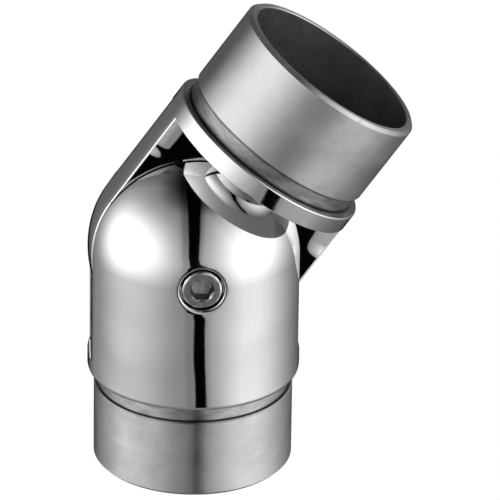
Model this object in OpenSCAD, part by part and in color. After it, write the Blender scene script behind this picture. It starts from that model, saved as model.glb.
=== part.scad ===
// Adjustable handrail connector for round tube: two castings joined by a clamped pivot.
// The lower casting ends in a fork, and the tongue of the upper casting turns between its prongs.
// Each casting has a turned spigot that a tube slides over until it butts on the shoulder.
// Origin: centre of the lower spigot's end face. +Z runs up the lower spigot, the pivot axis
// runs along Y with the screw's head at the -Y side, and the upper spigot leans towards +X.

/* [Handrail tube] */
// Outside diameter of the tube, which both castings are flush with
tube_d = 50.8; // [44:0.1:60.3]
// Wall of the tube
tube_wall = 1.5; // [1:0.1:2]
// Radial clearance between a spigot and the inside of the tube
tube_clearance = 0.05; // [0.05:0.05:0.3]

/* [Spigots] */
// Length of the lower casting's turned spigot
lower_spigot_len = 19.6; // [15:0.1:40]
// Length of the upper casting's turned spigot
upper_spigot_len = 21.1; // [15:0.1:40]
// Wall of the spigot around its cast bore
spigot_wall = 2.2; // [1.8:0.1:4]
// Chamfer on the outer edge of the spigot's end
spigot_chamfer = 0.8; // [0.3:0.1:1.2]
// Chamfer on the spigot's other edge, beside the neck
spigot_break = 0.3; // [0.1:0.05:0.5]
// Length of the undercut neck between the lower shoulder and its spigot
lower_neck_len = 3.9; // [2:0.1:8]
// Length of the undercut neck between the upper shoulder and its spigot
upper_neck_len = 4; // [2:0.1:8]
// Radial depth of the neck below the spigot
neck_depth = 0.8; // [0.3:0.1:1.2]
// Length of neck that stays solid between the bore's end and the shoulder
bore_stop = 2.7; // [1:0.1:4]
// Corner radius at the bore's end
bore_corner = 3; // [1:0.5:5]
// Chamfer that breaks the outer edge of the upper shoulder
shoulder_break = 0.4; // [0.2:0.1:0.6]
// How far polishing rounds off the lower shoulder's outer edge, radially
shoulder_round = 0.8; // [0.3:0.1:1.2]
// Height over which that rounding runs up the body
shoulder_roll = 1.6; // [0.5:0.1:2.5]

/* [Fork] */
// Width of the slot between the prongs
slot_w = 12.4; // [11:0.1:16]
// Gap between the tongue's round end and the slot's floor
floor_gap = 1.9; // [1:0.1:4]
// Metal between the slot's floor and the shoulder
floor_web = 4.3; // [2.5:0.1:6]
// Chamfer that breaks the prongs' edges along the slot
slot_break = 0.25; // [0.1:0.05:0.6]

/* [Tongue] */
// Width of the polished bevel along the tongue's edges, measured along its thickness
tongue_bevel = 1.35; // [0.3:0.05:2]
// Angle of that bevel to the tongue's narrow side
bevel_angle = 24; // [10:1:45]
// Gap between the fork's dome and the underside of the collar
collar_gap = 0.5; // [0.3:0.1:2]
// Thickness of the collar
collar_t = 4.6; // [3:0.1:8]
// Lean of the upper spigot away from the lower one's axis
tilt = 35.3; // [-90:0.1:90]

/* [Pivot screw] */
// Diameter of the screw's shank
screw_d = 6; // [5:0.5:8]
// Diameter of the screw's head
head_d = 9.8; // [9.2:0.1:10.4]
// Height of the head
head_h = 6; // [5:0.5:7]
// Chamfer round the outer edge of the head
head_chamfer = 0.45; // [0.2:0.05:0.8]
// Width across the flats of the hexagon socket
hex_w = 5; // [4:0.5:5.5]
// Depth of the hexagon socket
hex_depth = 3.5; // [2:0.5:4]
// How far the head's top lies below the fork's surface
head_sink = 0.5; // [0.2:0.1:1.5]
// Length of thread held in the rear prong
thread_grip = 9.9; // [7:0.1:11]
// Chamfer on the screw's free end
tip_chamfer = 0.7; // [0.3:0.1:1]

/* [Pivot holes] */
// Radial clearance of the head in its counterbore
head_clearance = 0.3; // [0.2:0.1:0.8]
// Radial width of the chamfer at the counterbore's mouth
mouth_chamfer = 0.65; // [0.3:0.05:1]
// Radial clearance of the shank in the front prong
prong_clearance = 0.3; // [0.1:0.05:0.5]
// Radial running clearance of the shank in the tongue and in the rear prong
pivot_clearance = 0.08; // [0.02:0.01:0.1]
// Depth of the blind hole beyond the screw's end
hole_spare = 3; // [1:0.5:5]

/* [Washers] */
// Outside diameter of the split lock washer under the head
lock_d = 9.6; // [9:0.1:10.2]
// Thickness of the lock washer
lock_t = 1.6; // [1:0.1:2]
// Width of the cut through the lock washer
lock_split = 0.8; // [0.4:0.1:1.5]
// Radial clearance of the washers round the shank
washer_clearance = 0.15; // [0.05:0.05:0.4]
// Outside diameter of the friction washers beside the tongue
friction_d = 28; // [18:1:36]
// Thickness of each friction washer
friction_t = 0.65; // [0.4:0.05:2]
// Running clearance between a friction washer and the tongue
friction_gap = 0.05; // [0.02:0.01:0.1]

/* [Hidden] */
$fn = 144;
cut = 1;
drill_angle = 59;
polished_steel = [0.80, 0.80, 0.81];
screw_steel = [0.55, 0.55, 0.56];
spring_steel = [0.42, 0.42, 0.43];
black_nylon = [0.10, 0.10, 0.11];
body_r = tube_d / 2;
spigot_r = body_r - tube_wall - tube_clearance;
neck_r = spigot_r - neck_depth;
bore_r = spigot_r - spigot_wall;
slot_depth = body_r + floor_gap;
fork_shoulder = slot_depth + floor_web;
collar_z = body_r + collar_gap;
tongue_shoulder = collar_z + collar_t;
fork_end = fork_shoulder + lower_neck_len + lower_spigot_len;
tongue_end = tongue_shoulder + upper_neck_len + upper_spigot_len;
pivot_z = fork_end;
screw_r = screw_d / 2;
head_y = head_sink - body_r;
seat_y = head_y + head_h;
counterbore_y = seat_y + lock_t;
tip_y = slot_w / 2 + thread_grip;
counterbore_r = head_d / 2 + head_clearance;
thread_r = screw_r + pivot_clearance;
tongue_t = slot_w - 2 * (friction_t + friction_gap);

// Moves its children up to the pivot
module at_pivot() translate([0, 0, pivot_z]) children();

// Turns its children from +Z to the lower casting's own direction, down
module downwards() at_pivot() mirror([0, 0, 1]) children();

// Turns its children from +Z to the upper casting's lean
module leaning() at_pivot() rotate([0, tilt, 0]) children();

// Turns its children from +Z to the pivot axis, +Y
module along_y() rotate([-90, 0, 0]) children();

// Cylinder between two heights
module round_bar(r, from, to) translate([0, 0, from]) cylinder(r = r, h = to - from);

// Cylinder between two heights whose far end has a chamfer
module chamfered_bar(r, from, to, chamfer) {
    round_bar(r, from, to - chamfer);
    translate([0, 0, to - chamfer]) cylinder(r1 = r, r2 = r - chamfer, h = chamfer);
}

// Cylinder between two heights whose far edge is rounded off, more along the axis than radially
module rolled_bar(r, from, to, drop, roll) rotate_extrude() polygon(concat(
    [[0, to], [0, from], [r, from]],
    [for (t = [0:15:90]) [r - drop * (1 - cos(t)), to - roll * (1 - sin(t))]]));

// Neck and spigot that stand on a shoulder
module spigot(shoulder, neck_len, end) {
    neck_end = shoulder + neck_len;
    round_bar(neck_r, shoulder - cut, neck_end + cut);
    translate([0, 0, neck_end]) cylinder(r1 = spigot_r - spigot_break, r2 = spigot_r, h = spigot_break);
    chamfered_bar(spigot_r, neck_end + spigot_break, end, spigot_chamfer);
}

// Blind cast bore that runs from a spigot's end into the neck, with a rounded corner
module spigot_bore(shoulder, end) {
    bore_floor = shoulder + bore_stop;
    corner_z = bore_floor + bore_corner;
    round_bar(bore_r, corner_z, end + cut);
    round_bar(bore_r - bore_corner, bore_floor, end + cut);
    translate([0, 0, corner_z]) rotate_extrude() translate([bore_r - bore_corner, 0]) circle(r = bore_corner);
}

// What lies within an outline that turns half-way round the pivot and then runs straight.
// The outline is a list of points, each a distance from the pivot axis and a place along it
module pivot_outline(outline, run) {
    last = len(outline) - 1;
    along_y() rotate_extrude() polygon(outline);
    linear_extrude(run) polygon(concat(outline, [for (i = [last:-1:0]) [-outline[i][0], outline[i][1]]]));
}

// Fork: prongs with broken edges, the body below the slot, and the spigot
module fork_blank() {
    prong_w = sqrt(pow(body_r, 2) - pow(slot_w / 2, 2)) - slot_break;
    flare = body_r + cut - slot_w / 2;
    intersection() {
        union() {
            sphere(r = body_r);
            round_bar(body_r, 0, slot_depth + cut);
        }
        pivot_outline([[0, -body_r - cut], [prong_w + flare, -body_r - cut], [prong_w, -slot_w / 2],
                       [prong_w, slot_w / 2], [prong_w + flare, body_r + cut], [0, body_r + cut]],
                      slot_depth + cut);
    }
    rolled_bar(body_r, slot_depth, fork_shoulder, shoulder_round, shoulder_roll);
    spigot(fork_shoulder, lower_neck_len, fork_end);
}

// Counterbore, clearance hole and blind thread that take the screw
module screw_holes() {
    mouth_r = counterbore_r + mouth_chamfer;
    mouth_sag = (body_r - sqrt(pow(body_r, 2) - pow(mouth_r, 2))) / 2;
    mouth_len = cut + mouth_sag + mouth_chamfer;
    hole_end = tip_y + hole_spare;
    translate([0, 0, -body_r - cut]) cylinder(r1 = counterbore_r + mouth_len, r2 = counterbore_r, h = mouth_len);
    round_bar(counterbore_r, -body_r - cut, counterbore_y);
    round_bar(screw_r + prong_clearance, counterbore_y - cut, 0);
    round_bar(thread_r, 0, hole_end);
    translate([0, 0, hole_end]) cylinder(r1 = thread_r, r2 = 0, h = thread_r / tan(drill_angle));
}

module fork_body() color(polished_steel) difference() {
    downwards() fork_blank();
    at_pivot() translate([-body_r - cut, -slot_w / 2, -slot_depth])
        cube([2 * (body_r + cut), slot_w, slot_depth + body_r + cut]);
    downwards() spigot_bore(fork_shoulder, fork_end);
    at_pivot() along_y() screw_holes();
}

// Tongue: a flat blade with a round end and bevelled edges
module tongue_blade() {
    half_t = tongue_t / 2;
    bevel_slope = tan(bevel_angle);
    face_w = sqrt(pow(body_r, 2) - pow(half_t - tongue_bevel, 2)) - tongue_bevel * bevel_slope;
    ridge_w = face_w + half_t * bevel_slope;
    intersection() {
        union() {
            sphere(r = body_r);
            round_bar(body_r, 0, collar_z + cut);
        }
        pivot_outline([[0, -half_t], [face_w, -half_t], [ridge_w, 0], [face_w, half_t], [0, half_t]],
                      collar_z + cut);
    }
}

module tongue_body() color(polished_steel) leaning() difference() {
    union() {
        tongue_blade();
        chamfered_bar(body_r, collar_z, tongue_shoulder, shoulder_break);
        spigot(tongue_shoulder, upper_neck_len, tongue_end);
    }
    spigot_bore(tongue_shoulder, tongue_end);
    along_y() round_bar(thread_r, -tongue_t, tongue_t);
}

module pivot_screw() color(screw_steel) at_pivot() along_y() difference() {
    union() {
        mirror([0, 0, 1]) chamfered_bar(head_d / 2, -seat_y, -head_y, head_chamfer);
        chamfered_bar(screw_r, seat_y - cut, tip_y, tip_chamfer);
    }
    translate([0, 0, head_y - cut]) cylinder(d = hex_w / cos(30), h = hex_depth + cut, $fn = 6);
}

module lock_washer() color(spring_steel) at_pivot() along_y() difference() {
    round_bar(lock_d / 2, seat_y, counterbore_y);
    round_bar(screw_r + washer_clearance, seat_y - cut, counterbore_y + cut);
    translate([0, -lock_split / 2, seat_y - cut]) cube([lock_d, lock_split, lock_t + 2 * cut]);
}

// Friction washer that lies on one cheek of the slot: side is -1 at the front and 1 at the rear
module friction_washer(side) color(black_nylon) at_pivot() along_y()
    translate([0, 0, side * (slot_w - friction_t) / 2]) difference() {
        cylinder(d = friction_d, h = friction_t, center = true);
        cylinder(r = screw_r + washer_clearance, h = friction_t + 2 * cut, center = true);
    }

module front_friction_washer() friction_washer(-1);

module rear_friction_washer() friction_washer(1);

fork_body();
tongue_body();
pivot_screw();
lock_washer();
front_friction_washer();
rear_friction_washer();
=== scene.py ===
# Looks of an adjustable handrail connector: two polished castings, a sunk socket screw and its washers.
# Sizes are in millimetres, in the words of the part's own source, and MM brings them to metres.
import math

import bmesh
import bpy
from mathutils import Matrix, Vector


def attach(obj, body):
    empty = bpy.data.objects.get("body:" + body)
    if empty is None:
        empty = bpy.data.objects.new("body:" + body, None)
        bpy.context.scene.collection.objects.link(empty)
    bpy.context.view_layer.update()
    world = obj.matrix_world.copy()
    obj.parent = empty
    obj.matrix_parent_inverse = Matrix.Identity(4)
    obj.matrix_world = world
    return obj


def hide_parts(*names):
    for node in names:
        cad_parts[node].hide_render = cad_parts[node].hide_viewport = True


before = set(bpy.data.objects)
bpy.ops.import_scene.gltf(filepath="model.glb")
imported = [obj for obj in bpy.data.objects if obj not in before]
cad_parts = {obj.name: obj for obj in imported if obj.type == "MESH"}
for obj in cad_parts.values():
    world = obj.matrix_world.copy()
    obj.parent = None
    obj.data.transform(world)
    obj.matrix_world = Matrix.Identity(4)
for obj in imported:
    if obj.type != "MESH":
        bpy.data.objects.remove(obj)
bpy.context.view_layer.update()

MM = 0.001

# Both castings: radii, the bore and its floor, and the broken edges of the spigot.
BODY_R = 25.4
SPIGOT_R = 23.85
NECK_R = 23.05
BORE_R = 21.65
BORE_STOP = 2.7
BORE_CORNER = 3.0
SPIGOT_CHAMFER = 0.8
SPIGOT_BREAK = 0.3
RIM_BREAK = 0.2
GROOVE = 0.52

# Heights along each casting from the pivot, and how far its shoulder's edge rolls in and down.
FORK_SHOULDER = 31.6
FORK_NECK_END = 35.5
FORK_END = 55.1
LOWER_EDGE = (0.7, 1.15)
COLLAR_Z = 25.9
TONGUE_SHOULDER = 30.5
TONGUE_NECK_END = 34.5
TONGUE_END = 55.6
UPPER_EDGE = (0.4, 0.4)

# The fork's slot and the tongue in it.
SLOT_W = 12.4
SLOT_DEPTH = 27.3
SLOT_BREAK = 0.25
TONGUE_T = 11.0
TONGUE_BEVEL = 1.35
BEVEL_ANGLE = math.radians(24)
COLLAR_BREAK = 0.2
PIVOT_Z = FORK_END
TILT = math.radians(35.3)

# Socket cap screw. Y runs along the pivot axis from the front, where the head is.
HEAD_R = 4.75
HEAD_Y = -24.9
SEAT_Y = -18.9
TIP_Y = 16.1
TIP_CHAMFER = 0.7
SCREW_R = 3.0
THREAD_START_Y = -7.9
THREAD_PITCH = 1.0
THREAD_DEPTH = 0.55
HEX_W = 5.0
HEX_DEPTH = 3.5

# Its hole, with a rounded mouth whose slope in degrees bends over at shares of the way to the bore.
COUNTERBORE_R = 5.2
COUNTERBORE_Y = -17.3
MOUTH_ROUND = 0.9
MOUTH_BEND = ((0.0, 0.0), (0.05, 6.5), (0.55, 20.5), (0.82, 58.0), (1.0, 80.0))
MOUTH_START = 0.1
MOUTH_FRONT_Y = -20
LIP_Y = -24
SHANK_HOLE_R = 3.3
THREAD_HOLE_R = 3.08
HOLE_END_Y = 19.1
DRILL_ANGLE = math.radians(59)

# Lock washer and friction washers.
LOCK_R = 4.8
LOCK_SPLIT = 0.8
WASHER_HOLE_R = 3.15
FRICTION_R = 14.0
FRICTION_T = 0.65

# Steps round a whole turn, and along the curves of a profile.
RING_STEPS = 192
WASHER_STEPS = 144
SMALL_STEPS = 96
DRILL_STEPS = 48
DOME_STEPS = 40
EDGE_STEPS = 12
CORNER_STEPS = 8

# Limits for finding faces and corners: lengths in metres, then shares of a direction.
SAME_HEIGHT = 1e-7
SAME_PLACE = 1e-6
NEAR_AXIS = 1e-5
ON_SURFACE = 1.2e-5
SIDEWAYS = 0.04
LEVEL = 0.02

# Most of a noise lies between these two values.
NOISE_LOW = 0.3
NOISE_HIGH = 0.7


def clear_selection():
    """Leaves nothing selected, so that the next operator acts on its own piece alone."""
    for thing in list(bpy.context.selected_objects):
        thing.select_set(False)


def pick(piece):
    """Makes one piece the selected and active one."""
    clear_selection()
    piece.select_set(True)
    bpy.context.view_layer.objects.active = piece


def select_edges(piece, wanted):
    """Selects the edges of the piece in edit mode for which wanted(edge) holds."""
    mesh = bmesh.from_edit_mesh(piece.data)
    bpy.ops.mesh.select_mode(type="EDGE")
    for edge in mesh.edges:
        edge.select_set(wanted(edge))
    mesh.select_flush_mode()
    bmesh.update_edit_mesh(piece.data)


def arc(centre, radius, start, end, count):
    """Points of a round corner in a profile, from one angle to another in degrees."""
    points = []
    for i in range(count + 1):
        angle = math.radians(start + (end - start) * i / count)
        points.append((centre[0] + radius * math.cos(angle), centre[1] + radius * math.sin(angle)))
    return points


def draw_ring(profile):
    """Draws the selected ring of edges on through the points of a profile, (radius, height) in mm."""
    unchanged = 1e-9
    for (r_from, z_from), (r_to, z_to) in zip(profile, profile[1:]):
        rise = (0, 0, (z_to - z_from) * MM)
        bpy.ops.mesh.extrude_region_move(TRANSFORM_OT_translate={"value": rise})
        scale = r_to / r_from
        if abs(scale - 1) > unchanged:
            bpy.ops.transform.resize(value=(scale, scale, 1), center_override=(0, 0, z_to * MM))


def turned(name, profile, steps=RING_STEPS):
    """Lathe work about Z. A profile that starts and ends on the axis is closed there, and any other
    one is closed on itself as a ring."""
    solid = profile[0][0] == 0
    rings = profile[1:-1] if solid else profile
    clear_selection()
    bpy.ops.mesh.primitive_circle_add(vertices=steps, radius=rings[0][0] * MM, fill_type="NOTHING")
    piece = bpy.context.object
    piece.name = name
    bpy.ops.object.mode_set(mode="EDIT")
    bpy.ops.transform.translate(value=(0, 0, rings[0][1] * MM))
    draw_ring(rings)
    if solid:
        for ring, pole in ((rings[-1], profile[-1]), (rings[0], profile[0])):
            height = ring[1] * MM
            radius = ring[0] * MM
            select_edges(piece, lambda e: e.is_boundary and all(
                abs(v.co.z - height) < SAME_HEIGHT and abs(v.co.xy.length - radius) < SAME_PLACE
                for v in e.verts))
            bpy.ops.mesh.extrude_region_move(
                TRANSFORM_OT_translate={"value": (0, 0, pole[1] * MM - height)})
            bpy.ops.mesh.merge(type="CENTER")
    else:
        select_edges(piece, lambda e: e.is_boundary)
        bpy.ops.mesh.bridge_edge_loops()
    bpy.ops.mesh.select_all(action="SELECT")
    bpy.ops.mesh.normals_make_consistent(inside=False)
    bpy.ops.object.mode_set(mode="OBJECT")
    return piece


def place(piece, matrix):
    """Puts a piece where it belongs and works the move into its mesh, so its object stays at the origin."""
    pick(piece)
    piece.matrix_world = matrix
    bpy.ops.object.transform_apply(location=True, rotation=True, scale=True)
    return piece


def block(name, low, high):
    """A plain block between two corners in mm, which only serves as a cutting tool."""
    clear_selection()
    bpy.ops.mesh.primitive_cube_add(size=1)
    piece = bpy.context.object
    piece.name = name
    middle = (Vector(low) + Vector(high)) * (MM / 2)
    size = (Vector(high) - Vector(low)) * MM
    return place(piece, Matrix.Translation(middle) @ Matrix.Diagonal((*size, 1)))


def prism(name, outline, low, high):
    """A straight bar along Z with the given outline in mm, another cutting tool."""
    clear_selection()
    bpy.ops.mesh.primitive_circle_add(vertices=len(outline), radius=1, fill_type="NGON")
    piece = bpy.context.object
    piece.name = name
    for vertex, (x, y) in zip(piece.data.vertices, outline):
        vertex.co = (x * MM, y * MM, low * MM)
    bpy.ops.object.mode_set(mode="EDIT")
    bpy.ops.mesh.select_all(action="SELECT")
    bpy.ops.mesh.extrude_region_move(TRANSFORM_OT_translate={"value": (0, 0, (high - low) * MM)})
    bpy.ops.mesh.select_all(action="SELECT")
    bpy.ops.mesh.normals_make_consistent(inside=False)
    bpy.ops.object.mode_set(mode="OBJECT")
    return piece


def combine(piece, tool, operation):
    """Joins, cuts or limits a piece by a tool, and puts the tool away."""
    pick(piece)
    step = piece.modifiers.new("combine", "BOOLEAN")
    step.object = tool
    step.operation = operation
    step.solver = "EXACT"
    bpy.ops.object.modifier_apply(modifier=step.name)
    bpy.data.objects.remove(tool)
    return piece


ALONG_Y = Matrix.Rotation(math.radians(-90), 4, "X")
LOWER = Matrix.Translation((0, 0, PIVOT_Z * MM)) @ Matrix.Rotation(math.radians(180), 4, "Y")
UPPER = Matrix.Translation((0, 0, PIVOT_Z * MM)) @ Matrix.Rotation(TILT, 4, "Y")
PIVOT = Matrix.Translation((0, 0, PIVOT_Z * MM)) @ ALONG_Y


def casting_profile(shoulder, edge, neck_top, end):
    """Outline that both castings share, from the pole of the dome to the end of the spigot and back
    down its bore. Heights run from the pivot along the spigot. The shoulder's edge is rounded off
    radially and along the body by the two lengths of edge. Rings a millimetre apart on the body keep the
    faces round the screw's hole short, so that the curve of its mouth doesn't run on down the body."""
    bore_floor = shoulder + BORE_STOP
    highest_ring = 9
    drop, roll = edge
    points = arc((0, 0), BODY_R, -90, 0, DOME_STEPS)
    points[0] = (0, -BODY_R)
    points += [(BODY_R, height) for height in range(1, highest_ring + 1)]
    for x, y in arc((0, 0), 1, 0, 90, EDGE_STEPS):
        points.append((BODY_R - drop * (1 - x), shoulder - roll * (1 - y)))
    points += [(NECK_R, shoulder), (NECK_R, neck_top + GROOVE), (NECK_R + GROOVE, neck_top + GROOVE)]
    points += [(NECK_R + GROOVE, neck_top), (SPIGOT_R - SPIGOT_BREAK, neck_top)]
    points += [(SPIGOT_R, neck_top + SPIGOT_BREAK), (SPIGOT_R, end - SPIGOT_CHAMFER)]
    points += [(SPIGOT_R - SPIGOT_CHAMFER, end), (BORE_R + RIM_BREAK, end), (BORE_R, end - RIM_BREAK)]
    points += arc((BORE_R - BORE_CORNER, bore_floor + BORE_CORNER), BORE_CORNER, 0, -90, CORNER_STEPS)
    points += [(0, bore_floor)]
    return points


def edge_tool(name, outline, run, block_profile):
    """What a casting keeps round the pivot: an outline turned round the pivot axis, the same outline
    drawn on along the casting, and a round block for the rest of it."""
    tool = place(turned(name, outline), ALONG_Y)
    half = outline[1:-1]
    both = half + [(-x, y) for x, y in reversed(half)]
    combine(tool, prism(name + "_run", both, 0, run), "UNION")
    return combine(tool, turned(name + "_block", block_profile), "UNION")


def surface_y(x, z):
    """Front of the lower casting's body and dome at a place across and along it, all in mm."""
    return -math.sqrt(BODY_R ** 2 - x ** 2 - min(z, 0) ** 2)


def mouth_slope(reach):
    """Slope of the counterbore's rounded mouth at a share of the way from its outer rim to the bore."""
    for (start, first), (end, last) in zip(MOUTH_BEND, MOUTH_BEND[1:]):
        if reach <= end:
            return math.tan(math.radians(first + (last - first) * (reach - start) / (end - start)))
    return math.tan(math.radians(MOUTH_BEND[-1][1]))


def mouth_sink(reach):
    """Depth in mm of the counterbore's rounded mouth at a share of the way to the bore."""
    reach = min(max(reach, 0), 1)
    steps = 24
    return sum(mouth_slope(reach * (i + 0.5) / steps) for i in range(steps)) * reach * MOUTH_ROUND / steps


def mouth_y(x, z):
    """Front of the lower casting where its surface rolls over into the counterbore's mouth."""
    reach = (COUNTERBORE_R + MOUTH_ROUND - math.hypot(x, z)) / MOUTH_ROUND
    return surface_y(x, z) + mouth_sink(reach)


def screw_hole():
    """Tool for the blind screw hole. Its mouth follows the curve of the surface that it opens in."""
    steps = 12
    clear = 4
    skirt = 0.1
    slack = 0.01
    axis_r = 1
    start_sink = mouth_sink(MOUTH_START)
    mouth = []
    for i in range(steps + 1):
        reach = MOUTH_START + (1 - MOUTH_START) * math.sin(math.radians(90 * i / steps))
        mouth.append((COUNTERBORE_R + MOUTH_ROUND * (1 - reach), mouth_sink(reach) - start_sink))
    lip = mouth[0][0]
    shape = [(lip + 1, -clear), (lip + 1, -skirt)] + mouth
    points = [(0, -BODY_R - clear)] + [(r, depth - BODY_R) for r, depth in shape]
    points += [(COUNTERBORE_R, COUNTERBORE_Y), (SHANK_HOLE_R, COUNTERBORE_Y), (SHANK_HOLE_R, 0),
               (THREAD_HOLE_R, 0), (THREAD_HOLE_R, HOLE_END_Y),
               (0, HOLE_END_Y + THREAD_HOLE_R / math.tan(DRILL_ANGLE))]
    tool = place(turned("screw_hole", points, SMALL_STEPS), ALONG_Y)
    mouth_end = mouth_sink(1) - BODY_R + slack
    for vertex in tool.data.vertices:
        x, y, z = vertex.co / MM
        if -BODY_R - 1 < y < mouth_end and math.hypot(x, z) > axis_r:
            vertex.co.y += (surface_y(x, z) + BODY_R) * MM
    return tool


def lower_casting():
    """Fork: the turned casting, its slot with broken edges, and the holes that take the screw."""
    piece = turned("lower_casting", casting_profile(FORK_SHOULDER, LOWER_EDGE, FORK_NECK_END, FORK_END))
    inset = 0.5
    overlap = 0.3
    cheek = SLOT_W / 2
    waist = math.sqrt(BODY_R ** 2 - cheek ** 2) - SLOT_BREAK
    far = BODY_R + 1
    flare = far - cheek
    outline = [(0, -far), (waist + flare, -far), (waist - inset, inset - cheek),
               (waist - inset, cheek - inset), (waist + flare, far), (0, far)]
    body_start = SLOT_DEPTH - overlap
    body = [(0, body_start), (far, body_start), (far, FORK_END + 1), (0, FORK_END + 1)]
    combine(piece, edge_tool("fork_edges", outline, SLOT_DEPTH, body), "INTERSECT")
    combine(piece, block("slot", (-far, -cheek, -far), (far, cheek, SLOT_DEPTH)), "DIFFERENCE")
    combine(piece, screw_hole(), "DIFFERENCE")
    return piece


def upper_casting():
    """Tongue: the turned casting cut back to a flat blade with bevelled edges below its collar. A knee
    parts each bevel from a soft corner that curves on into the flat face."""
    profile = casting_profile(TONGUE_SHOULDER, UPPER_EDGE, TONGUE_NECK_END, TONGUE_END)
    piece = turned("upper_casting", profile)
    half = TONGUE_T / 2
    flat = half - TONGUE_BEVEL
    side_w = math.sqrt(BODY_R ** 2 - flat ** 2)
    face_w = side_w - TONGUE_BEVEL * math.tan(BEVEL_ANGLE)
    knee_in, knee_down = 0.19, 0.36
    bend_in, bend_down = 0.06, 0.08
    knee = (side_w - knee_in, half - knee_down)
    bend = (knee[0] - bend_in, half - bend_down)
    steps = 6
    corner = []
    for i in range(steps + 1):
        t = i / steps
        corner.append(tuple((1 - t) ** 2 * start + 2 * t * (1 - t) * middle + t ** 2 * end
                            for start, middle, end in zip((face_w, half), bend, knee)))
    ridge_w = side_w + flat * knee_in / (TONGUE_BEVEL - knee_down)
    outline = [(0, -half)] + [(x, -y) for x, y in corner] + [(ridge_w, 0)]
    outline += corner[::-1] + [(0, half)]
    far = BODY_R + 1
    collar = [(0, COLLAR_Z), (BODY_R - COLLAR_BREAK, COLLAR_Z), (far, COLLAR_Z + COLLAR_BREAK + 1),
              (far, TONGUE_END + 1), (0, TONGUE_END + 1)]
    overlap = 0.6
    combine(piece, edge_tool("tongue_edges", outline, COLLAR_Z + overlap, collar), "INTERSECT")
    bore = [(0, -TONGUE_T), (THREAD_HOLE_R, -TONGUE_T), (THREAD_HOLE_R, TONGUE_T), (0, TONGUE_T)]
    combine(piece, place(turned("pivot_bore", bore, SMALL_STEPS), ALONG_Y), "DIFFERENCE")
    return piece


def mouth_normal(x, z):
    """Normal of the rounded mouth of the counterbore at a place across and along the casting in mm."""
    step = 0.002
    across = (mouth_y(x + step, z) - mouth_y(x - step, z)) / (2 * step)
    along = (mouth_y(x, z + step) - mouth_y(x, z - step)) / (2 * step)
    return Vector((across, -1, along)).normalized()


def true_normal(face, points, axes):
    """Normals for the corners of a face that lies on a surface turned about one of the axes, or None
    for a flat face. The dome is a surface of its own."""
    if all(abs(p.length - BODY_R * MM) < ON_SURFACE for p in points):
        return [p.normalized() for p in points]
    centre = face.center
    for axis in axes:
        along = centre.dot(axis)
        out = centre - axis * along
        reach = out.length
        if reach < NEAR_AXIS:
            continue
        out /= reach
        lean = face.normal.dot(axis)
        open_out = face.normal.dot(out)
        if abs(face.normal.dot(axis.cross(out))) > SIDEWAYS or abs(open_out) < LEVEL:
            continue
        normals = []
        for p in points:
            rise = p.dot(axis) - along
            away = p - axis * p.dot(axis)
            if abs(away.length * open_out + rise * lean - reach * open_out) > ON_SURFACE:
                break
            normals.append((away.normalized() * open_out + axis * lean).normalized())
        else:
            return normals
    return None


def near_mouth(point):
    """Whether a place on the lower casting's front lies in the counterbore's rounded mouth."""
    reach = math.hypot(point.x, point.z) / MM
    bore_wall = COUNTERBORE_R + 0.002
    return bore_wall < reach < COUNTERBORE_R + MOUTH_ROUND and point.y < MOUTH_FRONT_Y * MM


def dress_normals(piece, axes, mouth=False):
    """Gives each corner the normal of the true surface, so that the polish mirrors without facets."""
    mesh = piece.data
    facing_front = -0.8
    normals = []
    for face in mesh.polygons:
        face.use_smooth = True
        points = [mesh.vertices[v].co.copy() for v in face.vertices]
        in_mouth = mouth and near_mouth(face.center) and abs(face.normal.y) > SIDEWAYS
        found = None if in_mouth else true_normal(face, points, axes)
        found = found if found else [face.normal.copy() for _ in points]
        at_lip = mouth and face.normal.y < facing_front and face.center.y < LIP_Y * MM
        if in_mouth or at_lip:
            found = [mouth_normal(p.x / MM, p.z / MM) if in_mouth or near_mouth(p) else normal
                     for p, normal in zip(points, found)]
        normals += found
    mesh.normals_split_custom_set(normals)


def finish_faces(piece, materials, choose):
    """Gives the piece its materials and each face the one that choose(centre, normal) names."""
    names = list(materials)
    piece.data.materials.clear()
    for name in names:
        piece.data.materials.append(materials[name])
    for face in piece.data.polygons:
        face.material_index = names.index(choose(face.center / MM, face.normal))


def turning_map(piece, shoulder):
    """UV map of the turned surfaces: U runs along the profile in metres from the corner between the
    shoulder and the neck, and V once round the axis."""
    corner_place = (shoulder + NECK_R) * MM
    layer = piece.data.uv_layers.new(name="turning")
    mesh = piece.data
    for face in mesh.polygons:
        middle = math.atan2(face.center.y, face.center.x)
        for corner in face.loop_indices:
            point = mesh.vertices[mesh.loops[corner].vertex_index].co
            angle = math.atan2(point.y, point.x) if point.xy.length > SAME_PLACE else middle
            if angle - middle > math.pi:
                angle -= 2 * math.pi
            if middle - angle > math.pi:
                angle += 2 * math.pi
            layer.data[corner].uv = (point.z + point.xy.length - corner_place, angle / (2 * math.pi))


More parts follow.
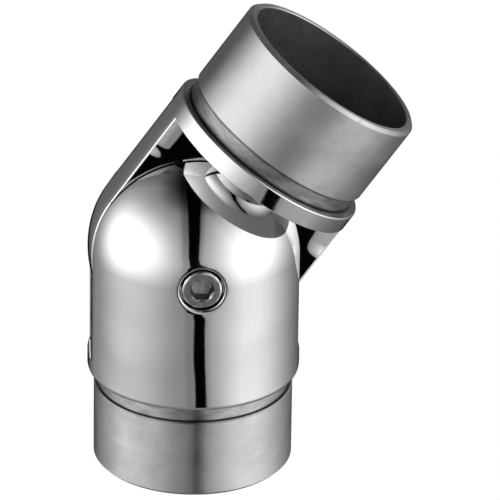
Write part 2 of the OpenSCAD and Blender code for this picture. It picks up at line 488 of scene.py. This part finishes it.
def socket_screw():
    """Hexagon socket cap screw with a rounded head, a chamfered socket and its rolled thread. The round
    tools of the socket stand off the hexagon's corners by a small turn, which keeps the cuts clean."""
    edge = 0.6
    face_r = HEAD_R - 0.9
    under_break = 0.2
    fillet_out, fillet_run = 0.14, 0.3
    points = [(0, HEAD_Y), (face_r, HEAD_Y)]
    points += arc((HEAD_R - edge, HEAD_Y + edge), edge, -90, 0, CORNER_STEPS)
    points += [(HEAD_R, SEAT_Y - under_break), (HEAD_R - under_break, SEAT_Y)]
    points += [(SCREW_R + fillet_out, SEAT_Y), (SCREW_R, SEAT_Y + fillet_run)]
    points += [(SCREW_R, THREAD_START_Y), (SCREW_R, TIP_Y - TIP_CHAMFER)]
    points += [(SCREW_R - TIP_CHAMFER, TIP_Y), (0, TIP_Y)]
    piece = turned("socket_screw", points, SMALL_STEPS)
    small_turn = 1.3
    off_step = Matrix.Rotation(math.radians(small_turn), 4, "Z")
    across = HEX_W / math.sqrt(3)
    chamfer_out, chamfer_in = 0.38, 0.46
    wide, narrow = across + chamfer_out, across - chamfer_in
    top, foot = HEAD_Y - 0.5, HEAD_Y + 0.7
    cone = [(0, top), (wide, top), (narrow, foot), (0, foot)]
    combine(piece, place(turned("socket_mouth", cone, SMALL_STEPS), off_step), "DIFFERENCE")
    floor = HEAD_Y + HEX_DEPTH
    socket = [(0, HEAD_Y - 1), (across, HEAD_Y - 1), (across, floor), (0, floor)]
    flats_level = Matrix.Rotation(math.radians(30), 4, "Z")
    combine(piece, place(turned("socket", socket, 6), flats_level), "DIFFERENCE")
    drill_gap = 0.1
    drill_r = HEX_W / 2 - drill_gap
    drill_top, drill_rim, drill_point = floor - 0.5, floor - 0.02, floor + 0.25
    drill = [(0, drill_top), (drill_r, drill_top), (drill_r, drill_rim), (0, drill_point)]
    combine(piece, place(turned("socket_floor", drill, DRILL_STEPS), off_step), "DIFFERENCE")
    cut_thread(piece)
    return piece


def cut_thread(piece):
    """Rolls the thread into the screw's plain shank: many rings, each pushed in by the thread's turn. The
    thread fades in over its first turn and out at the tip's chamfer."""
    long_edge = 0.02
    rings = 233
    end_gap = 1e-6
    flank, root_width = 1.25, 0.15
    fade_in, fade_out, least_out = 1.2 * MM, 0.3 * MM, 0.35
    pick(piece)
    bpy.ops.object.mode_set(mode="EDIT")
    select_edges(piece, lambda e: abs(e.verts[0].co.z - e.verts[1].co.z) > long_edge)
    bpy.ops.mesh.subdivide(number_cuts=rings)
    bpy.ops.object.mode_set(mode="OBJECT")
    last = (TIP_Y - TIP_CHAMFER - THREAD_START_Y) * MM
    for vertex in piece.data.vertices:
        run = vertex.co.z - THREAD_START_Y * MM
        if end_gap < run < last - end_gap:
            turn = run / (THREAD_PITCH * MM) - math.atan2(vertex.co.y, vertex.co.x) / (2 * math.pi)
            tooth = abs((turn % 1.0) * 2 - 1)
            depth = THREAD_DEPTH * MM * min(1.0, max(0.0, flank * tooth - root_width))
            depth *= min(1.0, run / fade_in, (last - run) / fade_out + least_out)
            vertex.co.xy *= 1 - depth / vertex.co.xy.length


def split_washer():
    """Lock washer of rectangular section with one cut through it."""
    edge = 0.15
    low, high = SEAT_Y, COUNTERBORE_Y
    points = [(WASHER_HOLE_R + edge, low), (LOCK_R - edge, low), (LOCK_R, low + edge),
              (LOCK_R, high - edge), (LOCK_R - edge, high), (WASHER_HOLE_R + edge, high),
              (WASHER_HOLE_R, high - edge), (WASHER_HOLE_R, low + edge)]
    piece = turned("split_washer", points, SMALL_STEPS)
    half = LOCK_SPLIT / 2
    return combine(piece, block("split", (0, -half, low - 1), (LOCK_R + 1, half, high + 1)), "DIFFERENCE")


def friction_washer(name, low):
    """Nylon washer with rounded edges that lies on one cheek of the slot."""
    edge = 0.25
    reach, steps = 60, 2
    high = low + FRICTION_T
    rim = FRICTION_R - edge
    points = [(WASHER_HOLE_R + edge, low), (rim, low)]
    points += arc((rim, low + edge), edge, -reach, 0, steps)
    points += arc((rim, high - edge), edge, 0, reach, steps)
    points += [(rim, high), (WASHER_HOLE_R + edge, high)]
    points += [(WASHER_HOLE_R, high - edge), (WASHER_HOLE_R, low + edge)]
    return turned(name, points, WASHER_STEPS)


def node(tree, kind, **values):
    """Adds one shader node. Values name its properties, or its inputs by socket name."""
    made = tree.nodes.new(kind)
    for key, value in values.items():
        if hasattr(made, key):
            setattr(made, key, value)
        else:
            made.inputs[key.replace("_", " ")].default_value = value
    return made


def feed(tree, socket, value):
    """Gives a socket a plain value, or the output of another node."""
    if isinstance(value, bpy.types.NodeSocket):
        tree.links.new(value, socket)
    else:
        socket.default_value = value


def maths(tree, operation, first, second, clamp=False):
    """One Math node. Its two values are numbers or outputs of other nodes."""
    made = node(tree, "ShaderNodeMath", operation=operation, use_clamp=clamp)
    feed(tree, made.inputs[0], first)
    feed(tree, made.inputs[1], second)
    return made.outputs[0]


def plus(tree, first, second, clamp=False):
    """Sum of two values, kept between 0 and 1 where clamp is set."""
    return maths(tree, "ADD", first, second, clamp)


def minus(tree, first, second):
    """Difference of two values."""
    return maths(tree, "SUBTRACT", first, second)


def times(tree, first, second):
    """Product of two values."""
    return maths(tree, "MULTIPLY", first, second)


def most(tree, first, second):
    """The larger of two values."""
    return maths(tree, "MAXIMUM", first, second)


def size_of(tree, value):
    """A value without its sign."""
    made = node(tree, "ShaderNodeMath", operation="ABSOLUTE")
    tree.links.new(value, made.inputs[0])
    return made.outputs[0]


def swing(tree, value, pattern, amount, clamp=False):
    """A value that a pattern moves up and down by half the amount."""
    return plus(tree, value, times(tree, minus(tree, pattern, 0.5), amount), clamp)


def blend(tree, first, second, share):
    """Mixes the second value into the first by a share from 0 to 1."""
    return plus(tree, times(tree, first, minus(tree, 1.0, share)), times(tree, second, share))


def ramp(tree, value, start, end, low, high, smooth=True):
    """Maps a value from one range to another. The limits are numbers or outputs of other nodes."""
    made = node(tree, "ShaderNodeMapRange", interpolation_type="SMOOTHSTEP" if smooth else "LINEAR")
    tree.links.new(value, made.inputs["Value"])
    for label, limit in (("From Min", start), ("From Max", end), ("To Min", low), ("To Max", high)):
        feed(tree, made.inputs[label], limit)
    return made.outputs[0]


def vector_maths(tree, operation, first, second):
    """One Vector Math node on a position and a second vector."""
    made = node(tree, "ShaderNodeVectorMath", operation=operation)
    tree.links.new(first, made.inputs[0])
    feed(tree, made.inputs[1], second)
    return made


def noise(tree, where, scale, detail, spread):
    """Noise between 0 and 1 at a place. The scale is a vector, because it may differ by direction."""
    stretched = vector_maths(tree, "MULTIPLY", where, scale).outputs[0]
    made = node(tree, "ShaderNodeTexNoise", Scale=1.0)
    tree.links.new(stretched, made.inputs["Vector"])
    feed(tree, made.inputs["Detail"], detail)
    feed(tree, made.inputs["Roughness"], spread)
    return made.outputs["Fac"]


def alike(scale):
    """The same noise scale in all three directions."""
    return (scale, scale, scale)


def grey(tree, value):
    """A grey colour of the given brightness."""
    made = node(tree, "ShaderNodeCombineColor")
    for socket in made.inputs:
        tree.links.new(value, socket)
    return made.outputs[0]


def along(tree, where, vector, start):
    """How far a place lies past start, in mm, along a direction from the pivot."""
    reach = vector_maths(tree, "DOT_PRODUCT", where, vector).outputs["Value"]
    past = PIVOT_Z * vector[2] + start
    return times(tree, minus(tree, reach, past * MM), 1 / MM)


def effect(name, build, inputs):
    """Shared shader group with the outputs Color, Roughness and Height. The inputs name its sockets, and
    build(tree, place, given) fills it, where place is the position in the object's own space and given
    holds what the inputs bring. It returns brightness, roughness and height."""
    tree = bpy.data.node_groups.new(name, "ShaderNodeTree")
    for label in inputs:
        kind = "NodeSocketVector" if label.endswith("Scale") else "NodeSocketFloat"
        tree.interface.new_socket(name=label, in_out="INPUT", socket_type=kind)
    for label, kind in (("Color", "NodeSocketColor"), ("Roughness", "NodeSocketFloat"),
                        ("Height", "NodeSocketFloat")):
        tree.interface.new_socket(name=label, in_out="OUTPUT", socket_type=kind)
    given = tree.nodes.new("NodeGroupInput").outputs
    out = tree.nodes.new("NodeGroupOutput")
    place_node = tree.nodes.new("ShaderNodeTexCoord")
    brightness, roughness, height = build(tree, place_node.outputs["Object"], given)
    tree.links.new(grey(tree, brightness), out.inputs["Color"])
    tree.links.new(roughness, out.inputs["Roughness"])
    tree.links.new(height, out.inputs["Height"])
    return tree


def finish(name, group, values, relief, metallic=1.0, anisotropic=0.0, extra=None):
    """Material whose colour, roughness and relief come from a shared group with its own values. Relief is
    the height in metres that a Height of 1 stands for. Extra adds a shape of this finish alone to it."""
    material = bpy.data.materials.new(name)
    material.use_nodes = True
    tree = material.node_tree
    shader = tree.nodes["Principled BSDF"]
    shader.inputs["Metallic"].default_value = metallic
    shader.inputs["Anisotropic"].default_value = anisotropic
    looks = tree.nodes.new("ShaderNodeGroup")
    looks.node_tree = group
    for label, value in values.items():
        looks.inputs[label].default_value = value
    height = looks.outputs["Height"]
    if extra:
        place_node = tree.nodes.new("ShaderNodeTexCoord")
        height = plus(tree, height, extra(tree, place_node.outputs["Object"]))
    bump = node(tree, "ShaderNodeBump", Strength=1.0, Distance=relief)
    tree.links.new(looks.outputs["Color"], shader.inputs["Base Color"])
    tree.links.new(looks.outputs["Roughness"], shader.inputs["Roughness"])
    tree.links.new(height, bump.inputs["Height"])
    tree.links.new(bump.outputs["Normal"], shader.inputs["Normal"])
    if anisotropic:
        tangent = node(tree, "ShaderNodeTangent", direction_type="UV_MAP", uv_map="turning")
        tree.links.new(tangent.outputs["Tangent"], shader.inputs["Tangent"])
    return material


BUFFED_INPUTS = ("Wave Scale", "Wave Height", "Hair Height", "Hair Share", "Smoothest", "Roughest")


def buffed_metal(tree, where, given):
    """Hand-buffed metal: the surface wanders softly, under hairlines and a trace of cloud."""
    dark, light = 0.79, 0.81
    scuff_low, scuff_high = 0.35, 0.75
    waves = noise(tree, where, given["Wave Scale"], detail=1.0, spread=0.4)
    hairs = noise(tree, where, (700.0, 700.0, 60.0), detail=3.0, spread=0.7)
    cloud = noise(tree, where, alike(140.0), detail=3.0, spread=0.6)
    scuffs = blend(tree, cloud, hairs, given["Hair Share"])
    brightness = ramp(tree, cloud, NOISE_LOW, NOISE_HIGH, dark, light)
    roughness = ramp(tree, scuffs, scuff_low, scuff_high, given["Smoothest"], given["Roughest"])
    height = plus(tree, times(tree, waves, given["Wave Height"]), times(tree, hairs, given["Hair Height"]))
    return brightness, roughness, height


def sink_round_screw(tree, where):
    """The buffing wheel takes a little more off round the mouth of the screw's hole."""
    depth = -0.03
    overlap, fade = 0.3 * MM, 2.0 * MM
    lip = (COUNTERBORE_R + MOUTH_ROUND) * MM - overlap
    away = vector_maths(tree, "SUBTRACT", where, (0, -BODY_R * MM, PIVOT_Z * MM)).outputs[0]
    reach = node(tree, "ShaderNodeVectorMath", operation="LENGTH")
    tree.links.new(away, reach.inputs[0])
    return ramp(tree, reach.outputs["Value"], lip, lip + fade, depth, 0.0)


def blade_wear(tree, where):
    """The tongue's flat faces are worn at their edges below the collar and stand a trace off square."""
    worn_from, wear = 19.5, -0.03
    rise_from, rise_to = 15.0, 19.0
    off_square = -0.004
    across = along(tree, where, (math.cos(TILT), 0, -math.sin(TILT)), 0.0)
    rise = along(tree, where, (math.sin(TILT), 0, math.cos(TILT)), 0.0)
    edge = most(tree, minus(tree, size_of(tree, across), worn_from), 0.0)
    worn = times(tree, times(tree, edge, edge), wear)
    worn = times(tree, worn, ramp(tree, rise, rise_from, rise_to, 0.0, 1.0))
    return plus(tree, worn, times(tree, across, off_square))


LATHE_INPUTS = ("Cloud Scale", "Dark", "Light", "Smoothest", "Roughest")


def lathe_turned(tree, where, given):
    """Fine turned steel: rings along the profile, handling marks, and painted shade in the corners of the
    neck and along the neck. The upper casting is a little duller, and its neck darker with deeper painted
    shade."""
    neck = (FORK_NECK_END - FORK_SHOULDER) * MM
    # Painted shade: these darken the corner between shoulder and neck, the foot of the neck, and the whole
    # neck.
    corner_from, corner_to, corner_shade = 0.1 * MM, 0.9 * MM, 0.12
    foot_from, foot_to, foot_shade = 0.2 * MM, 0.5 * MM, 0.25
    neck_from, neck_to, neck_shade_level = neck + 0.3 * MM, neck + 0.5 * MM, 0.8
    upper_neck_shade, upper_dull = 0.22, 0.06
    corner_marks, neck_marks = 0.25, 0.9
    ring_marks, streak_marks, streak_scuffs = 0.03, 0.08, 0.06
    ring_relief = 0.02
    chart = node(tree, "ShaderNodeUVMap", uv_map="turning").outputs[0]
    parts = node(tree, "ShaderNodeSeparateXYZ")
    tree.links.new(chart, parts.inputs[0])
    run = parts.outputs["X"]
    rings = noise(tree, chart, (3800.0, 5.0, 1.0), detail=2.0, spread=0.6)
    streaks = noise(tree, chart, (700.0, 30.0, 1.0), detail=4.0, spread=0.65)
    cloud = noise(tree, where, given["Cloud Scale"], detail=3.0, spread=0.5)
    upper = maths(tree, "GREATER_THAN", along(tree, where, (0, 0, 1), 0.0), 0.0)
    # Painted shade in the corner between shoulder and neck, with turning marks in it.
    corner = ramp(tree, run, corner_from, corner_to, corner_shade, 1.0)
    corner = swing(tree, corner, streaks, corner_marks, True)
    # Painted shade in the groove at the foot of the neck.
    foot = ramp(tree, size_of(tree, minus(tree, run, neck)), foot_from, foot_to, foot_shade, 1.0)
    # Painted shade along the recessed neck, deeper on the upper casting, with turning marks in it.
    neck_tone = minus(tree, neck_shade_level, times(tree, upper, upper_neck_shade))
    neck_tone = swing(tree, neck_tone, streaks, neck_marks)
    on_neck = ramp(tree, run, neck_from, neck_to, neck_tone, 1.0)
    brightness = ramp(tree, cloud, NOISE_LOW, NOISE_HIGH, given["Dark"], given["Light"], False)
    brightness = swing(tree, brightness, rings, ring_marks)
    brightness = swing(tree, brightness, streaks, streak_marks)
    for shade in (corner, foot, on_neck):
        brightness = times(tree, brightness, shade)
    roughness = ramp(tree, cloud, NOISE_LOW, NOISE_HIGH, given["Smoothest"], given["Roughest"], False)
    roughness = swing(tree, roughness, streaks, streak_scuffs)
    roughness = plus(tree, roughness, times(tree, upper, upper_dull))
    waves = noise(tree, where, alike(150.0), detail=1.0, spread=0.4)
    return brightness, roughness, plus(tree, times(tree, rings, ring_relief), waves)


MOTTLED_INPUTS = ("Tone Scale", "Tone Detail", "Tone Spread", "Grain Scale", "Grain Detail", "Grain Spread",
                  "Tone Start", "Tone End", "Dark", "Light", "Grain Share", "Rough At Dark",
                  "Rough At Light", "Tone Height", "Grain Height")


def mottled(tree, where, given):
    """Uneven surface: a tone and a grain, each a noise of its own. The tone sets the brightness, and the
    grain's share says which of the two the roughness follows."""
    tone = noise(tree, where, given["Tone Scale"], given["Tone Detail"], given["Tone Spread"])
    grain = noise(tree, where, given["Grain Scale"], given["Grain Detail"], given["Grain Spread"])
    scuffs = blend(tree, tone, grain, given["Grain Share"])
    brightness = ramp(tree, tone, given["Tone Start"], given["Tone End"], given["Dark"], given["Light"])
    roughness = ramp(tree, scuffs, NOISE_LOW, NOISE_HIGH, given["Rough At Dark"], given["Rough At Light"])
    height = plus(tree, times(tree, tone, given["Tone Height"]), times(tree, grain, given["Grain Height"]))
    return brightness, roughness, height


def mottled_values(tone, grain, brightness, roughness, heights, grain_share=0.0,
                   contrast=(NOISE_LOW, NOISE_HIGH)):
    """Values for the mottled effect. Tone and grain are a scale, a detail and a spread, and the pairs run
    from the dark end of the pattern to its light end, or from the tone to the grain for the heights."""
    return {"Tone Scale": tone[0], "Tone Detail": tone[1], "Tone Spread": tone[2],
            "Grain Scale": grain[0], "Grain Detail": grain[1], "Grain Spread": grain[2],
            "Tone Start": contrast[0], "Tone End": contrast[1],
            "Dark": brightness[0], "Light": brightness[1], "Grain Share": grain_share,
            "Rough At Dark": roughness[0], "Rough At Light": roughness[1],
            "Tone Height": heights[0], "Grain Height": heights[1]}


FINE_GRAIN = (alike(2600.0), 2.0, 0.6)

buffed_effect = effect("buffed_metal", buffed_metal, BUFFED_INPUTS)
lathe_effect = effect("lathe_turned", lathe_turned, LATHE_INPUTS)
mottled_effect = effect("mottled", mottled, MOTTLED_INPUTS)

# Both castings are hand polished, and the tongue's flat faces are waved more closely than the rest.
mirror_polish = finish(
    "mirror_polish", buffed_effect,
    {"Wave Scale": alike(52.0), "Wave Height": 0.42, "Hair Height": 0.0012, "Hair Share": 1.0,
     "Smoothest": 0.035, "Roughest": 0.085},
    relief=0.001, extra=sink_round_screw)
blade_polish = finish(
    "blade_polish", buffed_effect,
    {"Wave Scale": alike(75.0), "Wave Height": 0.30, "Hair Height": 0.0, "Hair Share": 0.0,
     "Smoothest": 0.035, "Roughest": 0.06},
    relief=0.001, extra=blade_wear)
turned_satin = finish(
    "turned_satin", lathe_effect,
    {"Cloud Scale": alike(130.0), "Dark": 0.61, "Light": 0.73, "Smoothest": 0.27, "Roughest": 0.33},
    relief=0.00008, anisotropic=0.9)

# The milled cheek keeps the fine arcs of the cutter, and the bores keep the dark skin of the casting.
milled_cheek = finish(
    "milled_cheek", mottled_effect,
    mottled_values(tone=(alike(90.0), 3.0, 0.6), grain=((2200.0, 200.0, 160.0), 2.0, 0.5),
                   brightness=(0.48, 0.60), roughness=(0.20, 0.32), heights=(0.0, 1.0), grain_share=1.0),
    relief=0.000004)
cast_skin = finish(
    "cast_skin", mottled_effect,
    mottled_values(tone=(alike(160.0), 4.0, 0.6), grain=(alike(1500.0), 3.0, 0.6),
                   brightness=(0.19, 0.25), roughness=(0.5, 0.68), heights=(0.0, 1.0), grain_share=1.0),
    relief=0.00002)

# The used screw is stained and scuffed, its socket's floor pale and dull, and painted shade darkens its
# walls.
bright_screw = finish(
    "bright_screw", mottled_effect,
    mottled_values(tone=(alike(520.0), 4.0, 0.65), grain=FINE_GRAIN,
                   brightness=(0.42, 1.0), roughness=(0.34, 0.20), heights=(3.0, 1.0),
                   contrast=(0.36, 0.64)),
    relief=0.000012)
socket_floor = finish(
    "socket_floor", mottled_effect,
    mottled_values(tone=(alike(640.0), 3.0, 0.6), grain=FINE_GRAIN,
                   brightness=(0.62, 1.0), roughness=(0.75, 0.5), heights=(1.0, 0.0),
                   contrast=(0.36, 0.64)),
    relief=0.00005, metallic=0.2)
# Painted shade on the walls of the hexagon socket.
socket_wall_shade = finish(
    "socket_wall_shade", mottled_effect,
    mottled_values(tone=((2400.0, 260.0, 2400.0), 2.0, 0.6), grain=FINE_GRAIN,
                   brightness=(0.10, 0.20), roughness=(0.38, 0.55), heights=(1.0, 0.0)),
    relief=0.00001)

# Tempered wire of the lock washer, and black nylon with the fine grain of its mould.
dark_spring = finish(
    "dark_spring", mottled_effect,
    mottled_values(tone=(alike(900.0), 3.0, 0.6), grain=FINE_GRAIN,
                   brightness=(0.34, 0.48), roughness=(0.3, 0.42), heights=(1.0, 0.0)),
    relief=0.00001)
nylon = finish(
    "nylon", mottled_effect,
    mottled_values(tone=(alike(250.0), 2.0, 0.5), grain=(alike(2000.0), 2.0, 0.5),
                   brightness=(0.022, 0.036), roughness=(0.45, 0.6), heights=(0.0, 1.0)),
    relief=0.00001, metallic=0.0)


def casting_finish(shoulder, end, face_finish):
    """Names the finish of each face of a casting by its place along the spigot. Flat faces across the
    pivot get the finish given for them, and all else below the shoulder is polished."""
    slack = 0.02
    side_strip = 0.6
    facing_pivot = 0.98
    bore_floor = shoulder + BORE_STOP - 0.1
    bore_rim = end - 0.3
    bore_wall = BORE_R + 0.05

    def choose(centre, normal):
        radius = math.hypot(centre.x, centre.y)
        if bore_floor < centre.z < bore_rim and radius < bore_wall:
            return "cast_skin"
        if centre.z > shoulder - slack:
            return "turned_satin"
        outside = centre.length > BODY_R - slack or radius > BODY_R - side_strip
        if outside or abs(normal.y) < facing_pivot:
            return "mirror_polish"
        return face_finish

    return choose


def socket_finish(centre, normal):
    """Names the finish of a face of the screw: the walls and floor of its socket differ from the rest."""
    slack = 0.02
    upright = 0.3
    floor = HEAD_Y + HEX_DEPTH
    below_drill = floor + 0.3
    in_hexagon = math.hypot(centre.x, centre.y) < HEX_W / math.sqrt(3)
    if not in_hexagon or not HEAD_Y + slack < centre.z <= below_drill:
        return "bright_screw"
    if centre.z > floor - slack:
        return "socket_floor"
    # The socket's upright walls take the painted shade.
    return "socket_wall_shade" if abs(normal.z) < upright else "bright_screw"


def one_finish(name):
    """The same finish for every face of a piece."""
    return lambda centre, normal: name


ALONG = Vector((0, 0, 1))
ACROSS = Vector((0, 1, 0))
CASTING_FINISHES = {"mirror_polish": mirror_polish, "turned_satin": turned_satin,
                    "blade_polish": blade_polish, "milled_cheek": milled_cheek, "cast_skin": cast_skin}
SCREW_FINISHES = {"bright_screw": bright_screw, "socket_wall_shade": socket_wall_shade, "socket_floor": socket_floor}

lower = lower_casting()
dress_normals(lower, (ALONG, ACROSS), mouth=True)
turning_map(lower, FORK_SHOULDER)
finish_faces(lower, CASTING_FINISHES, casting_finish(FORK_SHOULDER, FORK_END, "milled_cheek"))
place(lower, LOWER)
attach(lower, "lower_fitting")
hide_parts("fork_body")

upper = upper_casting()
dress_normals(upper, (ALONG, ACROSS))
turning_map(upper, TONGUE_SHOULDER)
finish_faces(upper, CASTING_FINISHES, casting_finish(TONGUE_SHOULDER, TONGUE_END, "blade_polish"))
place(upper, UPPER)
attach(upper, "upper_fitting")
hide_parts("tongue_body")

screw = socket_screw()
dress_normals(screw, (ALONG,))
finish_faces(screw, SCREW_FINISHES, socket_finish)
place(screw, PIVOT)
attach(screw, "clamp_screw")
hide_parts("pivot_screw")

spring = split_washer()
dress_normals(spring, (ALONG,))
finish_faces(spring, {"dark_spring": dark_spring}, one_finish("dark_spring"))
place(spring, PIVOT)
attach(spring, "lower_fitting")
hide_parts("lock_washer")

WASHER_PLACES = (("front_friction_washer", -SLOT_W / 2), ("rear_friction_washer", SLOT_W / 2 - FRICTION_T))
for name, low in WASHER_PLACES:
    pad = friction_washer("visible_" + name, low)
    dress_normals(pad, (ALONG,))
    finish_faces(pad, {"nylon": nylon}, one_finish("nylon"))
    place(pad, PIVOT)
    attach(pad, "lower_fitting")
    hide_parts(name)


def direction(azimuth, elevation):
    """Unit vector of a direction: azimuth 0 is the front, -Y, and grows towards +X."""
    a = math.radians(azimuth)
    e = math.radians(elevation)
    return (math.sin(a) * math.cos(e), -math.cos(a) * math.cos(e), math.sin(e))


# Each soft light: azimuth and elevation in degrees, sharpness, and level. A level below 0 is a shade.
SOFT_LIGHTS = ((-94.7, 4.7, 9.02, 1.23), (96.2, 3.0, 3.11, 0.483), (60.0, 5.3, 4.05, 1.236),
               (-61.6, 7.8, 6.75, 1.091), (135.6, 13.4, 0.51, -0.232), (180.0, -28.0, 30.0, -0.26),
               (-140.0, 4.0, 12.0, -0.13))
GAP_AZIMUTH = math.radians(-5.2)


def tent_tone(tree, towards, height, up):
    """Brightness of the white tent by direction: its cloth, the soft lights, and its darker top."""
    cloth, up_loss, down_loss = 0.356, -0.151, -0.166
    top_from, top_to, top_dark = 0.798, 1.013, 0.061
    never_zero = 0.0001
    down = most(tree, times(tree, height, -1.0), 0.0)
    tone = plus(tree, times(tree, up, up_loss), cloth)
    tone = plus(tree, tone, times(tree, down, down_loss))
    for azimuth, elevation, sharpness, level in SOFT_LIGHTS:
        facing = most(tree, towards(direction(azimuth, elevation)), never_zero)
        tone = plus(tree, tone, times(tree, maths(tree, "POWER", facing, sharpness), level))
    top = ramp(tree, height, top_from, top_to, 1.0, top_dark)
    return times(tree, most(tree, tone, 0.0), top)


def front_gap(tree, towards, height, up, behind):
    """Share of the tent's light that the dark gap at its front lets through. The gap leans a little low
    down, widens upwards, has soft shade beside it, and is closed high up behind and near the ground."""
    half_width, widening = 0.092, 0.032
    edge_in, edge_out = 0.012, 0.016
    lean_from, lean_rate, lean_most = 0.19, 0.198, 0.13
    gap_light = 0.005
    left_shade, left_reach = 0.27, 0.19
    right_shade, right_fall, right_reach = 0.8, 0.4, 0.12
    behind_from, behind_to = 0.78, 0.93
    below_to, below_from = -0.75, -0.58
    off = towards((math.cos(GAP_AZIMUTH), math.sin(GAP_AZIMUTH), 0))
    lean = most(tree, times(tree, minus(tree, lean_from, height), lean_rate), 0.0)
    off = minus(tree, off, maths(tree, "MINIMUM", lean, lean_most))
    half = plus(tree, times(tree, up, widening), half_width)
    inner = minus(tree, half, edge_in)
    outer = plus(tree, half, edge_out)
    core = ramp(tree, size_of(tree, off), inner, outer, gap_light, 1.0)
    left = ramp(tree, times(tree, off, -1.0), half, plus(tree, half, left_reach), left_shade, 1.0)
    right_tone = minus(tree, right_shade, times(tree, up, right_fall))
    right = ramp(tree, off, half, plus(tree, half, right_reach), right_tone, 1.0)
    closed_behind = times(tree, behind, ramp(tree, height, behind_from, behind_to, 1.0, 0.0))
    closed_below = ramp(tree, height, below_to, below_from, 1.0, 0.0)
    gap = times(tree, core, most(tree, left, right))
    return plus(tree, gap, most(tree, closed_behind, closed_below), True)


def studio():
    """White tent with broad soft lights and a narrow dark gap at the front, where a camera stands. The
    camera itself sees plain white."""
    world = bpy.data.worlds.new("studio")
    bpy.context.scene.world = world
    world.use_nodes = True
    tree = world.node_tree
    tree.nodes.clear()
    link = tree.links.new
    where = tree.nodes.new("ShaderNodeTexCoord").outputs["Generated"]
    parts = node(tree, "ShaderNodeSeparateXYZ")
    link(where, parts.inputs[0])

    def towards(vector):
        return vector_maths(tree, "DOT_PRODUCT", where, vector).outputs["Value"]

    height = parts.outputs["Z"]
    up = most(tree, height, 0.0)
    behind = maths(tree, "GREATER_THAN", parts.outputs["Y"], 0.0)
    tone = tent_tone(tree, towards, height, up)
    tone = times(tree, tone, front_gap(tree, towards, height, up, behind))
    light = node(tree, "ShaderNodeBackground")
    link(tone, light.inputs["Color"])
    plain = node(tree, "ShaderNodeBackground", Color=(1, 1, 1, 1))
    seen = node(tree, "ShaderNodeLightPath")
    mix = node(tree, "ShaderNodeMixShader")
    link(seen.outputs["Is Camera Ray"], mix.inputs[0])
    link(light.outputs[0], mix.inputs[1])
    link(plain.outputs[0], mix.inputs[2])
    out = node(tree, "ShaderNodeOutputWorld")
    link(mix.outputs[0], out.inputs["Surface"])


def pale_floor():
    """White floor that keeps a faint shadow of the object."""
    floor_size = 12
    base_grey = 0.3
    glow_seen = 0.92
    clear_selection()
    bpy.ops.mesh.primitive_plane_add(size=floor_size)
    floor = bpy.context.object
    floor.name = "floor"
    floor.visible_glossy = False
    material = bpy.data.materials.new("pale_floor")
    material.use_nodes = True
    tree = material.node_tree
    shader = tree.nodes["Principled BSDF"]
    shader.inputs["Base Color"].default_value = (base_grey, base_grey, base_grey, 1)
    shader.inputs["Roughness"].default_value = 1
    shader.inputs["Specular IOR Level"].default_value = 0
    shader.inputs["Emission Color"].default_value = (1, 1, 1, 1)
    seen = tree.nodes.new("ShaderNodeLightPath")
    glow = times(tree, seen.outputs["Is Camera Ray"], glow_seen)
    tree.links.new(glow, shader.inputs["Emission Strength"])
    floor.data.materials.append(material)


def photo_camera():
    """Camera at the photograph's place, for a square frame."""
    azimuth, elevation, roll = (math.radians(angle) for angle in (5.0641, 25.9032, 0.8239))
    distance = 1436.96
    slide_x, slide_y = -13.223, 1.320
    focal_px, frame_px, sensor = 6045.86, 500, 36
    back = Vector((-math.sin(azimuth) * math.cos(elevation), -math.cos(azimuth) * math.cos(elevation),
                   math.sin(elevation)))
    right = Vector((math.cos(azimuth), -math.sin(azimuth), 0))
    above = back.cross(right)
    if above.z < 0:
        above = -above
    right_r = right * math.cos(roll) + above * math.sin(roll)
    above_r = above * math.cos(roll) - right * math.sin(roll)
    spot = back * distance - right_r * slide_x - above_r * slide_y + Vector((0, 0, PIVOT_Z))
    data = bpy.data.cameras.new("photo_camera")
    camera = bpy.data.objects.new("photo_camera", data)
    bpy.context.scene.collection.objects.link(camera)
    turn = Matrix((right_r, above_r, back)).transposed().to_4x4()
    camera.matrix_world = Matrix.Translation(spot * MM) @ turn
    data.sensor_width = sensor
    data.lens = focal_px * sensor / frame_px
    data.clip_start = 0.05
    data.clip_end = 50
    bpy.context.scene.camera = camera


studio()
pale_floor()
photo_camera()
bpy.context.scene.view_settings.view_transform = "Standard"
